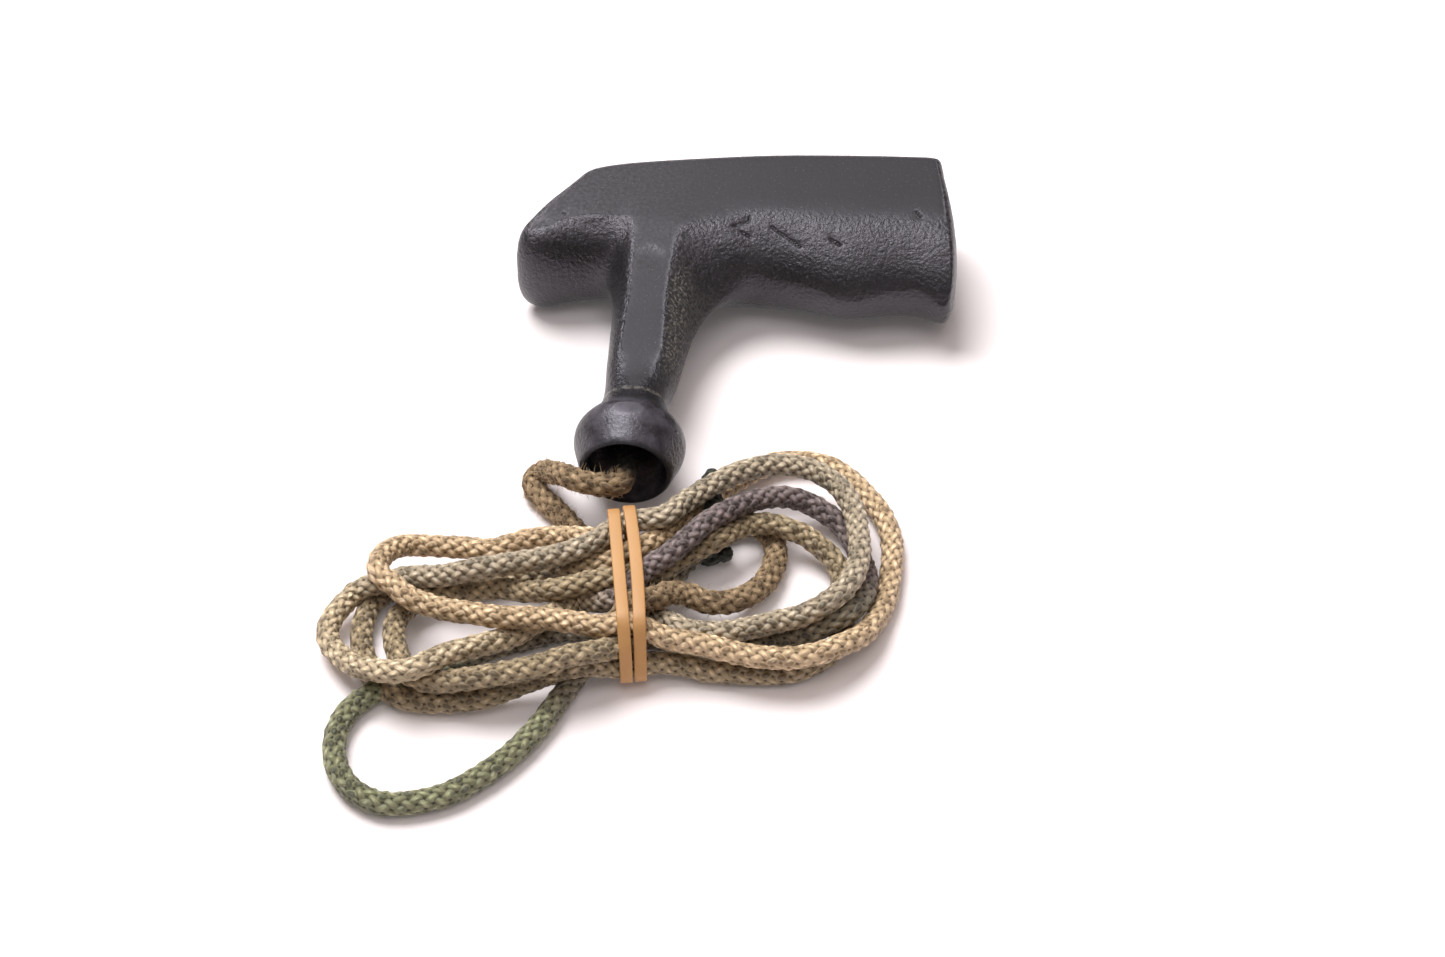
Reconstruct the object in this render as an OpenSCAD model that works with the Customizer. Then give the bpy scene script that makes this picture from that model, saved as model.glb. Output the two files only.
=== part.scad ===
// Recoil starter handle with its rope wound into a hank.
// The handle lies on its flat side, z = 0, with the rope bore along -Y and the bar's long end towards +X.
// The origin is on that flat side, under the axis of the rope bore.

/* [Bar] */
// Thickness of the handle between its two flat sides
grip_thick = 27; // [24:0.5:30]
// Angle of the bar from square to the stem
bar_tilt = 5.5; // [0:0.5:8]
// Bulge of the palm side between the two flats
palm_crown = 2.3; // [1:0.1:3]
// Roundness of the finger side, 2 for an ellipse and more for a squarer form
finger_round = 2.3; // [2:0.1:3]
// Roundness of the palm side, whose edges are crisp
palm_round = 4.5; // [3:0.5:6]

/* [Stem] */
// Half width of the flat ridge along the stem
ridge_half = 4.2; // [3:0.1:5]
// Height of the flat ridge above the axis at the neck
neck_ridge = 6.3; // [5.5:0.1:7]

/* [Nose] */
// Radius of the neck
neck_r = 7.7; // [7.5:0.1:8]
// Largest radius of the nose
nose_r = 12.5; // [11:0.1:13]
// Radius of the rim round the mouth
rim_r = 9.9; // [9:0.1:10.5]
// Radius of the mouth inside the rim
mouth_r = 8.1; // [7:0.1:8.5]
// Radius of the rope bore
bore_r = 3.6; // [3:0.1:4.5]

/* [Pocket] */
// Radius of the knot pocket in the palm side
pocket_r = 6.5; // [6:0.1:7]
// Radius of the steel pin that the rope is knotted over
pin_r = 2; // [1.5:0.1:2.2]

/* [Rope] */
// Diameter of the rope
rope_d = 5.3; // [4.5:0.1:5.5]
// Height of the wound hank
hank_h = 12; // [11:0.5:13]
// Width of the rubber band
band_w = 2.7; // [2:0.1:3]
// Thickness of the rubber band
band_t = 1; // [0.6:0.1:1.2]

/* [Hidden] */
rope_r = rope_d / 2;
axis_z = grip_thick / 2;
// The stem and the bar cross here, in front of the origin
cross_y = -10;

// The grip's skin runs between two closed outlines seen from above: the widest one at half height, and the
// edge of the flat with the stem's ridge. Each key holds a point of both, the height of the flat's edge above
// half height, and the roundness between them. Keys on the bar are along and across the tilted bar.
function on_bar(keys) = [for (k = keys)
    [k[0] * cos(bar_tilt) - k[1] * sin(bar_tilt), k[0] * sin(bar_tilt) + k[1] * cos(bar_tilt),
     k[2] * cos(bar_tilt) - k[3] * sin(bar_tilt), k[2] * sin(bar_tilt) + k[3] * cos(bar_tilt), k[4], k[5]]];

// Edge of the ridge along the stem: distance, height and half width
ridge_keys = [
    [-51.5, neck_ridge - 0.3, ridge_half - 0.1],
    [-45, neck_ridge + 0.7, ridge_half],
    [-37, neck_ridge + 1.9, ridge_half],
    [-30, neck_ridge + 2.9, ridge_half],
    [-23, neck_ridge + 4, ridge_half + 0.1],
    [-16, neck_ridge + 5.1, ridge_half + 0.3],
    [-9, neck_ridge + 6.2, ridge_half + 0.5],
    [-2.5, axis_z, ridge_half + 1.2],
];
// Flanks of the stem at half height, beside each ridge key, and their roundness
right_flank = [[7.5, -51.5, 2], [8.5, -45, 2], [9.5, -37, 1.8], [10.6, -30, 1.5], [12.2, -24, 1.3],
    [14.4, -19.4, 1.2], [17, -15.9, 1.3], [20, -13.2, 1.6]];
left_flank = [[7.5, -51.5, 2], [7.7, -45, 2], [7.9, -37, 1.9], [8.2, -30, 1.8], [8.6, -23.5, 1.6],
    [9.2, -18, 1.5], [10.3, -14, 1.5], [12.2, -11.8, 1.7]];
// Bar keys with the full height, and keys of the palm side, where the half height stands out by the crown
function edge_keys(keys, roundness) = [for (k = keys) [k[0], k[1], k[2], k[3], axis_z, roundness]];
function crown_keys(keys) = [for (k = keys) [k[0], k[1] + palm_crown, k[0], k[1], axis_z, palm_round]];
finger_keys = [
    [23, -13.4, 12, 3.2], [32, -15.2, 28, 3], [40, -18, 40, 3], [46, -18.8, 46, 3], [53, -17.9, 53, 3],
    [59.5, -18, 60, 3], [64.4, -20, 64, 3], [66.9, -20.4, 65.9, 3.2], [68.8, -16, 66.6, 5],
    [69.7, -8, 66.8, 7.5], [69.3, 1, 66.6, 10], [68.5, 9, 66.3, 12.5],
];
palm_end_keys = [[66.6, 18.2, 65.4, 16.6]];
palm_keys = [[60, 16.8], [45, 17.4], [28, 17.6], [12, 16.8], [-4, 15.5], [-12.5, 14.1]];
palm_head_keys = [[-16.8, 14.6, -16, 12.6], [-20, 10.8, -18.2, 9.4]];
// Head of the bar and the hollow under it, with its own heights
head_keys = [
    [-24.2, 5, -22.2, 3.8, axis_z - 0.1, palm_round], [-28.4, -0.4, -26.2, -1, axis_z - 0.6, 4],
    [-32.2, -3.8, -28.4, -3.2, axis_z - 1.4, 3], [-33.2, -6.8, -28.8, -4.2, axis_z - 1.6, 2.6],
    [-30.6, -9.8, -27.4, -4.2, axis_z - 1.3, 2.4], [-26.4, -10.6, -24.8, -2.8, axis_z - 0.5, finger_round],
    [-20.5, -10, -20, 0.8, axis_z, finger_round], [-15.5, -9.6, -13, 2.8, axis_z, finger_round],
];
bar_keys = concat(edge_keys(finger_keys, finger_round), edge_keys([[67.7, 16, 65.9, 15.2]], 3),
    edge_keys(palm_end_keys, palm_round), crown_keys(palm_keys), edge_keys(palm_head_keys, palm_round),
    head_keys);
n_ridge = len(ridge_keys);
grip_keys = concat(
    [for (i = [0 : n_ridge - 1])
        let (r = ridge_keys[i], m = right_flank[i]) [m[0], m[1], r[2], r[0], r[1], m[2]]],
    on_bar(bar_keys),
    [for (i = [n_ridge - 1 : -1 : 0])
        let (r = ridge_keys[i], m = left_flank[i]) [-m[0], m[1], -r[2], r[0], r[1], m[2]]]
);
grip_steps = 3;
grip_levels = 7;
nose_start = -49;
nose_end = -72.5;
pocket_floor = 3;
pin_half = 6;
inner_end = -59.9;
mark_y = -14.5;
mark_r = 3.1;
ridge_slope = 8.9;
mark_depth = 0.25;
ridge_keys_z = [for (k = ridge_keys) [k[0], k[1]]];

// Rope route from the mouth to the hank, and the route of the long loop
lead_route = [
    [0, -70, 13.5], [0, -74, 13.5], [0, -79, 13.5], [0, -82.5, 13.5], [-0.7, -85, 13.5], [-3.2, -86.2, 13.5],
    [-6.8, -86, 13.5], [-10.2, -85.2, 13.4], [-13.5, -82.6, 12], [-17, -78.4, 8], [-19.5, -75.6, 4.8],
    [-21.5, -76.6, 3.2], [-20.8, -79.2, 2.7], [-18.4, -82, 2.7], [-14.5, -86, 2.7], [-10.5, -90.5, 2.7],
    [-6.5, -95.5, 2.7], [-3.5, -100, 2.7],
];
loop_route = [
    [-34, -132, 2.7], [-41, -135.5, 2.7], [-47, -139.5, 2.7], [-51.5, -145, 2.7], [-53, -152, 2.7],
    [-51.5, -159.5, 2.7], [-47.5, -165, 2.7], [-41.5, -168, 2.7], [-35, -167.5, 2.7], [-27.5, -164.5, 2.7],
    [-21, -159, 2.7], [-15.5, -152.5, 2.7], [-11, -145, 2.7], [-7.5, -137.5, 2.7], [-3.5, -130, 2.7],
];
// Outline of the hank in plan, from the band's back edge round the left loops and then the right ones
hank_outline = [
    [0, -94], [-12, -96.5], [-30, -98], [-46, -98], [-57, -104], [-63, -115], [-61, -126], [-52, -135],
    [-40, -140], [-26, -138], [-10, -133.5], [5, -132], [20, -131], [38, -130.5], [50, -126], [58, -116],
    [62, -104], [63, -92], [60, -79], [52, -68], [40, -62.5], [27, -66], [15, -78], [7, -90],
];
hank_steps = 4;
band_mid = [3, -110.2];
band_turn = 10;
band_depth = 39;
band_gap = 0.3;
band_core_r = 5;
end_knot_at = [20.5, -95, 4.7];
end_knot_r = 4.7;
tail_turn = 6;
tail_length = 24;

// Point on a smooth curve through a list of points, past point i by share s; a closed list wraps round
function on_curve(points, i, s, closed) =
    let (
        n = len(points), a = points[closed ? (i + n - 1) % n : max(i - 1, 0)], b = points[i],
        c = points[closed ? (i + 1) % n : min(i + 1, n - 1)],
        d = points[closed ? (i + 2) % n : min(i + 2, n - 1)], m = (c - a) / 2, k = (d - b) / 2
    ) b + s * (m + s * (3 * (c - b) - 2 * m - k + s * (2 * (b - c) + m + k)));
function open_curve(points, steps) = concat(
    [for (i = [0 : len(points) - 2], s = [0 : steps - 1]) on_curve(points, i, s / steps, false)],
    [points[len(points) - 1]]);
function closed_curve(points, steps) =
    [for (i = [0 : len(points) - 1], s = [0 : steps - 1]) on_curve(points, i, s / steps, true)];

// Skin of the bar and stem in one piece: rings of the whole outline from the lower flat to the upper one
module bar_and_stem() {
    line = open_curve(grip_keys, grip_steps);
    n = len(line);
    rings = [for (level = [-grip_levels : grip_levels]) let (a = 90 * level / grip_levels)
        [for (k = line)
            let (
                e = 2 / max(k[5], 1.1), in = pow(cos(a), e), h = min(k[4], axis_z),
                mid = [k[0], k[1]], top = [k[2], k[3]], xy = top + in * (mid - top)
            ) [xy[0], xy[1], sign(a) * h * pow(abs(sin(a)), e)]]];
    // Points along one edge of the ridge, which pairs with the same number from the other end
    m = (n_ridge - 1) * grip_steps;
    last = (len(rings) - 1) * n;
    flat = [for (k = [m : n - 1 - m]) k];
    translate([0, cross_y, axis_z])
        polyhedron(
            points = [for (ring = rings) each ring],
            faces = concat(
                [for (r = [0 : len(rings) - 2], k = [0 : n - 1])
                    let (a = r * n + k, b = r * n + (k + 1) % n) each [[a, b + n, b], [a, a + n, b + n]]],
                [flat, [for (k = [len(flat) - 1 : -1 : 0]) last + flat[k]]],
                [for (k = [0 : m - 1]) [k, k + 1, n - 2 - k, n - 1 - k]],
                [for (k = [0 : m - 1]) [last + n - 1 - k, last + n - 2 - k, last + k + 1, last + k]]
            ),
            convexity = 8
        );
}

// Turned shape along the stem's axis, from points of distance and radius
module turned(profile) {
    translate([0, cross_y, axis_z]) rotate([-90, 0, 0])
        rotate_extrude($fn = 64) polygon([for (p = profile) [p[1], p[0]]]);
}

module nose() {
    turned([
        [nose_start, 0], [nose_start, neck_r], [-53.5, neck_r + 0.1], [-56.3, neck_r + 1.2],
        [-60.8, nose_r - 0.8], [-62.3, nose_r - 0.1], [-63.8, nose_r], [-65.4, nose_r - 0.2],
        [-71.2, rim_r + 0.5], [-72.1, rim_r],
        [nose_end, rim_r - 0.9], [nose_end, 0],
    ]);
}

// Mouth, rope bore and knot pocket, cut in line through the handle
module rope_way() {
    turned([
        [nose_end - 1, 0], [nose_end - 1, mouth_r + 0.6], [nose_end + 0.6, mouth_r], [-68, mouth_r - 0.6],
        [-63.5, bore_r + 0.8], [-62, bore_r], [pocket_floor, bore_r], [pocket_floor, pocket_r],
        [30, pocket_r], [30, 0],
    ]);
}

// Round ejector mark on the ridge
module ejector_mark() {
    translate([0, cross_y + mark_y, axis_z + lookup(mark_y, ridge_keys_z) - mark_depth])
        rotate([ridge_slope, 0, 0]) cylinder(r = mark_r, h = 3, $fn = 48);
}

module grip() {
    color([0.1, 0.1, 0.11])
        difference() {
            union() {
                bar_and_stem();
                nose();
            }
            rope_way();
            ejector_mark();
        }
}

module pin_shape() {
    translate([0, cross_y + pocket_floor + pin_r, axis_z]) rotate([0, 90, 0])
        cylinder(r = pin_r, h = 2 * pin_half, center = true, $fn = 32);
}

module grip_pin() {
    color([0.6, 0.6, 0.62]) pin_shape();
}

// Knot over the pin, with the rope's run through the bore
module grip_knot() {
    color([0.45, 0.38, 0.26])
        difference() {
            union() {
                turned([[pocket_floor + 0.4, 0], [pocket_floor + 0.4, 4.4], [pocket_floor + 3, 5.6],
                    [pocket_floor + 6, 5.8], [pocket_floor + 9, 4.8], [pocket_floor + 10.5, 2.4],
                    [pocket_floor + 10.5, 0]]);
                turned([[inner_end, 0], [inner_end, rope_r], [pocket_floor + 1, rope_r],
                    [pocket_floor + 1, 0]]);
            }
            pin_shape();
        }
}

function unit(v) = v / norm(v);
function direction(line, i) = unit(line[min(i + 1, len(line) - 1)] - line[max(i - 1, 0)]);

// A skin through rings of points, closed at both ends
module skin(rings) {
    n = len(rings[0]);
    last = (len(rings) - 1) * n;
    polyhedron(
        points = [for (ring = rings) each ring],
        faces = concat(
            [[for (k = [n - 1 : -1 : 0]) k]],
            [for (r = [0 : len(rings) - 2], k = [0 : n - 1])
                let (a = r * n + k, b = r * n + (k + 1) % n) each [[a, b, b + n], [a, b + n, a + n]]],
            [[for (k = [0 : n - 1]) last + k]]
        ),
        convexity = 6
    );
}

// Round tube swept along a line of points that never runs straight up
module tube(line, r, sides) {
    skin([for (i = [0 : len(line) - 1])
        let (d = direction(line, i), side = unit(cross(d, [0, 0, 1])), up = cross(side, d))
        [for (k = [0 : sides - 1]) let (a = 360 * k / sides)
            line[i] + r * (cos(a) * side - sin(a) * up)]]);
}

module rope_lead() {
    color([0.5, 0.43, 0.3])
        difference() {
            tube(open_curve(lead_route, 2), rope_r - 0.02, 10);
            hank_block();
        }
}

module rope_loop() {
    color([0.24, 0.28, 0.17])
        difference() {
            tube(open_curve(loop_route, 2), rope_r - 0.02, 10);
            hank_block();
        }
}

module hank_block() {
    linear_extrude(hank_h)
        polygon(closed_curve(hank_outline, hank_steps));
}

// Section of the hank under the band, with rounded corners
module waist_section(grow) {
    d = band_depth / 2 + grow - band_core_r;
    low = band_t - grow;
    high = hank_h - 0.2 + grow;
    for (y = [-d, d], z = [low + band_core_r, high - band_core_r])
        translate([y, z]) circle(r = band_core_r, $fn = 40);
    translate([-d, low]) square([2 * d, high - low]);
    translate([-d - band_core_r, low + band_core_r])
        square([2 * (d + band_core_r), high - low - 2 * band_core_r]);
}

module waist(x, w, grow) {
    translate([band_mid[0], band_mid[1], 0]) rotate(band_turn)
        translate([x, 0, 0]) rotate([90, 0, 90]) linear_extrude(w) waist_section(grow);
}

band_half = band_w + band_gap / 2;

module rope_hank() {
    color([0.46, 0.39, 0.27])
        difference() {
            hank_block();
            difference() {
                translate([band_mid[0], band_mid[1], 0]) rotate(band_turn)
                    translate([-band_half - 0.2, -40, -1]) cube([2 * band_half + 0.4, 80, hank_h + 2]);
                waist(-band_half - 1, 2 * band_half + 2, 0);
            }
            end_knot();
        }
}

// One band wound on twice: two turns side by side, joined where it crosses itself underneath
module rubber_band() {
    color([0.82, 0.6, 0.33]) {
        difference() {
            union() {
                waist(-band_half, band_w, band_t);
                waist(band_half - band_w, band_w, band_t);
                translate([band_mid[0], band_mid[1], 0]) rotate(band_turn)
                    translate([-1, -3, 0]) cube([2, 6, band_t]);
            }
            waist(-band_half - 1, 2 * band_half + 2, 0);
        }
    }
}

// Stopper knot at the rope's far end, with its short tail
module end_knot() {
    translate(end_knot_at) sphere(r = end_knot_r, $fn = 32);
    translate(end_knot_at) rotate([-90, 0, tail_turn]) cylinder(r = rope_r, h = tail_length, $fn = 24);
}

module rope_end_knot() {
    color([0.12, 0.13, 0.1]) end_knot();
}

grip();
grip_pin();
grip_knot();
rope_lead();
rope_hank();
rope_loop();
rope_end_knot();
rubber_band();
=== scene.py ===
"""Recoil starter handle with its rope wound into a hank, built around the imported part."""

import math

import bmesh
import bpy
import numpy as np
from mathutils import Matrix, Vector, geometry, noise


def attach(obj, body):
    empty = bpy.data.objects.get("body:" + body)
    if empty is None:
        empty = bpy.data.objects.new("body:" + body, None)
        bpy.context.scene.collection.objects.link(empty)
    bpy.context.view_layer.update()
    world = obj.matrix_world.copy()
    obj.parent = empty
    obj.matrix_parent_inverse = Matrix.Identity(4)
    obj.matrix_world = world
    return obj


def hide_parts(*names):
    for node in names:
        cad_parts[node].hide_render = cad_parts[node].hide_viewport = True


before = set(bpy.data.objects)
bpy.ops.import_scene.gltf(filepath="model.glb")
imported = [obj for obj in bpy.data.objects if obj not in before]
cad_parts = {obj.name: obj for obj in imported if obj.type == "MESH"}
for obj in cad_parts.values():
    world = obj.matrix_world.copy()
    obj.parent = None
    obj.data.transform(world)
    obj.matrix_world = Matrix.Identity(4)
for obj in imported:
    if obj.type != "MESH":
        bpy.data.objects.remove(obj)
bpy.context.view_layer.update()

# Camera: it looks down at the handle from in front and a little from its right, through a long lens, at the
# angle the photograph was taken from.
camera_data = bpy.data.cameras.new("camera")
camera_data.sensor_width = 36
camera_data.lens = 74.74
camera_data.clip_start = 0.05
camera = bpy.data.objects.new("camera", camera_data)
camera.location = (0.06041, -0.52873, 0.49440)
camera.rotation_euler = (math.radians(43), 0, math.radians(5))
bpy.context.collection.objects.link(camera)
bpy.context.scene.camera = camera
bpy.context.scene.view_settings.view_transform = "Standard"

# Starter rope: 5.3 mm diamond braid of nylon, about 1.5 m long, worn and stained by use. It runs from the
# knot in the handle out of the mouth, and is wound by hand into eleven passes under a rubber band. The
# passes are laid as they cross, then pushed apart until they rest on each other.
rope_d = 0.0053
rope_r = rope_d / 2
# Where two passes press on each other they give a little
pressed_d = 0.0051
# Length of one pitch of the braid, strands around the rope, and the mesh's steps around and along it
pitch = 0.0032
plaits = 6
around = 24
rings_per_pitch = 6
# The runs in order, each with its colour, how easily it gives way to others, and its points. A point with no
# height lies on the floor. The lead's and the loop's points are the part's own routes. The hank's places in
# plan were traced by hand, then shifted to the nearest half millimetre by a separate fit, which allowed for
# how far the passes move as they settle.
runs = [
    # Out of the bore and mouth, round the nose and under the hank. In the bore and mouth it is painted near
    # black, as painted shade.
    ("black", 1, [(0, -.058, .0135), (0, -.064, .0135), (0, -.07, .0135), (0, -.074, .0135),
        (0, -.079, .0135), (0, -.0825, .0135)]),
    ("worn", 0.2, [(-.0007, -.085, .0135), (-.0032, -.0862, .0135), (-.0068, -.086, .0135),
        (-.0102, -.0852, .0134), (-.0135, -.0826, .012), (-.017, -.0784, .008), (-.0195, -.0756, .0048),
        (-.0215, -.0766, .0032), (-.0208, -.0792, .0027), (-.0184, -.082, .0027), (-.0145, -.086, .0027),
        (-.0105, -.0905, .0027), (-.0065, -.0955, .0027), (-.0035, -.1, .0027)]),
    # Right end, outer turn on top, and back over the left side
    ("grey", 0.3, [(.0035, -.1125, .0038), (.0095, -.1155, .004), (.0165, -.1205, .0045),
        (.0245, -.121, .005), (.0305, -.1195, .0055), (.037, -.1175, .006), (.042, -.1165, .007),
        (.047, -.114, .0085), (.0505, -.1095, .0095), (.0525, -.102, .0098), (.052, -.0935, .0098),
        (.05, -.0845, .0096), (.046, -.078, .0095), (.04, -.074, .0093), (.033, -.0735, .0093),
        (.028, -.075, .0092), (.023, -.078, .009), (.0185, -.082, .0084), (.0125, -.0895, .0078),
        (.01, -.0935, .0076), (.0005, -.0965, .0076), (-.0045, -.1025, .008), (-.0115, -.1065, .0095),
        (-.0205, -.11, .011), (-.0285, -.112, .011), (-.0365, -.1125, .008), (-.0445, -.1125, .0065),
        (-.05, -.114, .005)]),
    # Outer turn of the left end, and up over the middle
    ("olive", 0.3, [(-.0545, -.116), (-.0585, -.1225), (-.0585, -.1275), (-.0535, -.134, .004),
        (-.047, -.1385, .007), (-.0385, -.14, .0095), (-.0315, -.135, .0095), (-.0235, -.1295, .0075),
        (-.018, -.1245, .0045), (-.0125, -.119, .0036), (-.007, -.113, .0045)]),
    # Dark turn of the right end
    ("oily", 0.3, [(.004, -.116, .0112), (.0075, -.1095, .0118), (.012, -.1055, .0122),
        (.017, -.0995, .0122), (.0205, -.095, .0114), (.026, -.089, .01), (.031, -.0845, .0088),
        (.036, -.082, .0074), (.0405, -.0815, .0056), (.0455, -.0835, .0042), (.0495, -.087, .003),
        (.053, -.094), (.055, -.102, .004)]),
    ("moss_dark", 0.5, [(.0535, -.1095, .0065), (.05, -.114, .0075), (.0445, -.1165, .0055),
        (.0395, -.1175, .0036), (.034, -.118), (.028, -.1185), (.018, -.1175, .0032),
        (.0045, -.1195, .0036), (-.004, -.1185, .0036), (-.011, -.119), (-.018, -.1225),
        (-.026, -.1265)]),
    # Long loop below the hank
    ("moss", 0.06, [(-.034, -.132, .0027), (-.041, -.1355, .0027), (-.047, -.1395, .0027),
        (-.0515, -.145, .0027), (-.053, -.152, .0027), (-.0515, -.1595, .0027), (-.0475, -.165, .0027),
        (-.0415, -.168, .0027), (-.035, -.1675, .0027), (-.0275, -.1645, .0027), (-.021, -.159, .0027),
        (-.0155, -.1525, .0027), (-.011, -.145, .0027)]),
    ("moss_dark", 0.06, [(-.0075, -.1375, .0027), (-.0035, -.13, .0027), (.0012, -.1255, .0034)]),
    # Small worn turn of the right end, under the others
    ("worn", 0.4, [(.0045, -.119, .0065), (.0085, -.1155, .0042), (.0115, -.112, .0036),
        (.0155, -.111, .0036), (.02, -.112, .0038), (.0255, -.1105, .0036), (.0295, -.107, .0032),
        (.0325, -.102), (.034, -.0965), (.034, -.0925), (.0325, -.0885), (.03, -.086), (.0255, -.0855),
        (.021, -.088)]),
    ("brown", 0.1, [(.018, -.0895), (.013, -.094), (.0075, -.099), (.001, -.0985, .0029)]),
    # Top turn of the left end
    ("tan", 0.3, [(-.0055, -.0975, .003), (-.0135, -.0965, .0032), (-.0195, -.098, .0046),
        (-.027, -.1015, .0052), (-.0335, -.1015, .0052), (-.0405, -.102, .0052), (-.046, -.103, .0052),
        (-.049, -.1065, .006), (-.0495, -.114, .007), (-.0455, -.1175, .0078), (-.042, -.1205, .0086),
        (-.0345, -.123, .0092), (-.0275, -.124, .0098), (-.0225, -.125, .0102), (-.014, -.1245, .0102),
        (-.0075, -.1245, .0098), (-.0015, -.125, .0092)]),
    # Outermost turn of the right end
    ("tan", 0.3, [(.0055, -.1235, .009), (.0125, -.1255, .0082), (.021, -.126, .008),
        (.029, -.1275, .0082), (.0365, -.128, .0085), (.0435, -.1265, .0085), (.05, -.122, .0075),
        (.0545, -.1165, .0055), (.0575, -.1075, .0035), (.059, -.099), (.059, -.0875), (.057, -.081),
        (.0525, -.074), (.046, -.0675), (.0405, -.0655), (.033, -.066), (.029, -.068), (.0225, -.074),
        (.0175, -.081, .0034), (.013, -.088, .0045), (.008, -.0965, .0065), (.0015, -.1025, .0084)]),
    # Middle turn of the left end
    ("brown", 0.4, [(-.013, -.1055, .0055), (-.0245, -.107, .004), (-.033, -.109, .0034),
        (-.0395, -.111, .0034), (-.047, -.111, .0032), (-.052, -.115, .003), (-.053, -.119),
        (-.052, -.127), (-.0495, -.1325), (-.0475, -.1365), (-.0415, -.139), (-.034, -.14),
        (-.0245, -.1395), (-.016, -.136), (-.009, -.133), (0, -.129, .0034)]),
    # Inner turn of the right end, given the darker brown as painted shade, for it lies in shade under the
    # other turns
    ("brown", 0.4, [(.0065, -.1275, .0042), (.015, -.1265, .0036), (.0225, -.1275), (.032, -.1275),
        (.0395, -.1265), (.045, -.123), (.049, -.118)]),
    ("brown", 0.4, [(.049, -.1015), (.0485, -.099, .0034), (.047, -.096, .0044), (.043, -.0925, .0054),
        (.04, -.0905, .0062), (.037, -.09, .007), (.033, -.089, .0076), (.027, -.09, .009),
        (.0235, -.0935, .0102), (.0215, -.096, .011), (.0175, -.099, .0096), (.0135, -.1025, .0074),
        (.0095, -.106, .006), (.0045, -.1075, .006)]),
    # Inner turn of the left end
    ("brown", 0.4, [(.0025, -.1095, .0065), (-.0105, -.115, .0075), (-.017, -.114, .006),
        (-.0245, -.1115, .0045), (-.0305, -.1115, .0036), (-.038, -.113, .0032), (-.042, -.1155, .003),
        (-.045, -.1205), (-.045, -.1255), (-.043, -.132), (-.0405, -.137), (-.0355, -.1395, .0036),
        (-.029, -.14, .006), (-.023, -.1395, .0075), (-.0145, -.1375, .008), (-.0065, -.134, .007),
        (-.001, -.1315, .0055), (.0055, -.1245, .0036)]),
    # Far end, to its stopper knot
    ("brown", 0.1, [(.0055, -.122, .005), (.006, -.114, .0045)]),
    ("moss_dark", 0.4, [(.009, -.107, .0032), (.0105, -.104, .003), (.013, -.0985, .0032),
        (.015, -.0965, .0038), (.018, -.0955, .0044)]),
]
band_mid = Vector((0.003, -0.1102, 0))
band_turn = math.radians(10)
band_t = 0.001


def smooth_line(keys, step):
    """Evenly spaced points on a smooth curve through the keys, and how far along the keys each one is."""
    keys = np.array(keys, float)
    ends = np.vstack([2 * keys[0] - keys[1], keys, 2 * keys[-1] - keys[-2]])
    points, place = [], []
    for i in range(len(keys) - 1):
        before, start, end, after = ends[i : i + 4]
        d1, d2, d3 = (math.sqrt(max(np.linalg.norm(b - a), 1e-9)) for a, b in
                      ((before, start), (start, end), (end, after)))
        out = end - start + d2 * ((start - before) / d1 - (end - before) / (d1 + d2))
        into = end - start + d2 * ((after - end) / d3 - (after - start) / (d2 + d3))
        for t in np.linspace(0, 1, 12, endpoint=False):
            points.append((2 * t**3 - 3 * t**2 + 1) * start + (t**3 - 2 * t**2 + t) * out
                          + (3 * t**2 - 2 * t**3) * end + (t**3 - t**2) * into)
            place.append(i + t)
    points = np.array(points + [keys[-1]])
    place = np.array(place + [len(keys) - 1])
    far = np.r_[0, np.cumsum(np.linalg.norm(np.diff(points, axis=0), axis=1))]
    even = np.linspace(0, far[-1], round(far[-1] / step) + 1)
    return (np.stack([np.interp(even, far, points[:, k]) for k in range(3)], 1),
            np.interp(even, far, place))


keys, finishes, give = [], [], []
for finish, yielding, points in runs:
    keys += [(*p, rope_r)[:3] if len(p) == 2 else p for p in points]
    finishes += [finish] * len(points)
    give += [yielding] * len(points)

# Passes that cross push each other apart, the firm ones least, and none sinks into the floor or the band.
# The first stretch lies in the bore and the mouth, and stays.
settle_step = 0.0018
settle_rounds = 220
stretch_in_bore = 18
floor_gap = 0.0002
laid, place = smooth_line(keys, settle_step)
loose = np.interp(place, range(len(give)), give)
first, second = np.triu_indices(len(laid), int(2.2 * rope_d / settle_step))
along_bundle = ((laid[:, 0] - band_mid.x) * math.cos(band_turn)
                + (laid[:, 1] - band_mid.y) * math.sin(band_turn))
lowest = rope_r + floor_gap + (band_t + 0.00015) * np.clip(1.5 - np.abs(along_bundle) / 0.006, 0, 1)
moved = np.zeros_like(laid)
for _ in range(settle_rounds):
    now = laid + moved
    gap = now[first] - now[second]
    near = np.flatnonzero((np.abs(gap) < pressed_d).all(1))
    gap, a, b = gap[near], first[near], second[near]
    far = np.maximum(np.linalg.norm(gap, axis=1), 1e-6)
    gap[:, 2] *= 1.6
    push = gap * (np.maximum(pressed_d - far, 0) / far)[:, None]
    share = (loose[a] / (loose[a] + loose[b]))[:, None]
    total, count = np.zeros_like(laid), np.zeros(len(laid))
    np.add.at(total, a, push * share)
    np.add.at(total, b, -push * (1 - share))
    touching = far < pressed_d
    np.add.at(count, a, touching)
    np.add.at(count, b, touching)
    moved += 0.7 * total / np.maximum(count, 1)[:, None]
    for _ in range(2):
        moved[1:-1] += 0.5 * ((moved[:-2] + moved[2:]) / 2 - moved[1:-1])
    moved *= (0.985, 0.985, 0.995)
    moved[:stretch_in_bore] = 0
    moved[:, 2] = np.maximum(moved[:, 2], lowest - laid[:, 2])
rope_line, rope_place = smooth_line(laid + moved, pitch / rings_per_pitch)
rope_place = np.interp(rope_place, range(len(place)), place)


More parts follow.
